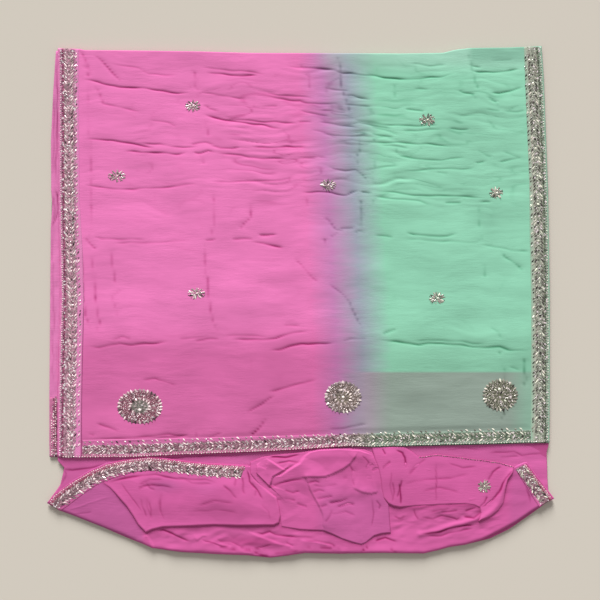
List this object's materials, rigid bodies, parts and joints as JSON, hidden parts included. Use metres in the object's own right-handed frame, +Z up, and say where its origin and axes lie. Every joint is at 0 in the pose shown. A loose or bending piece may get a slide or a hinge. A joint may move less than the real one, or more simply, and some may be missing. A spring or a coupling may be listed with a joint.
{
  "type": "folded saree",
  "caption": "Folded saree laid flat: crinkled pallu dyed pink to mint with a crystal border and medallions, and a loose fold of cloth below.",
  "frame": {"origin": "on the floor, under the middle of the folded saree's whole outline", "axes": "+Z up off the floor, +X across the cloth towards its mint side, +Y towards the pallu's fold"},
  "size_m": [1.1404, 1.1542, 0.0205],
  "materials": {
    "pallu_cloth": "fine crinkled georgette with a soft sheen, dip-dyed from pink at the left to mint at the right",
    "lower_cloth": "pink georgette with a soft satin sheen",
    "under_cloth": "pink georgette",
    "hidden_cloth": "pink georgette, folded",
    "crystal_border": "net band covered with clear and dark crystals",
    "crystal_motif": "cut crystal, clear with dark facets"
  },
  "bodies": {
    "root": {"folded_layers": "hidden_cloth", "pallu": "pallu_cloth", "border_left": "crystal_border", "border_right": "crystal_border", "border_end": "crystal_border", "under_layer": "under_cloth", "border_under": "crystal_border", "tail_ground_left": "lower_cloth", "tail_ground_right": "lower_cloth", "tail_left_flap": "lower_cloth", "tail_pillow": "lower_cloth", "tail_crumple": "lower_cloth", "tail_right_flap": "lower_cloth", "tail_right_corner": "lower_cloth", "border_tail_left": "crystal_border", "border_tail_right": "crystal_border", "trim_tail_right": "crystal_border", "medallion_left": "crystal_motif", "medallion_middle": "crystal_motif", "medallion_right": "crystal_motif", "buti_1": "crystal_motif", "buti_2": "crystal_motif", "buti_3": "crystal_motif", "buti_4": "crystal_motif", "buti_5": "crystal_motif", "buti_6": "crystal_motif", "buti_7": "crystal_motif", "buti_8": "crystal_motif"}
  },
  "joints": []
}
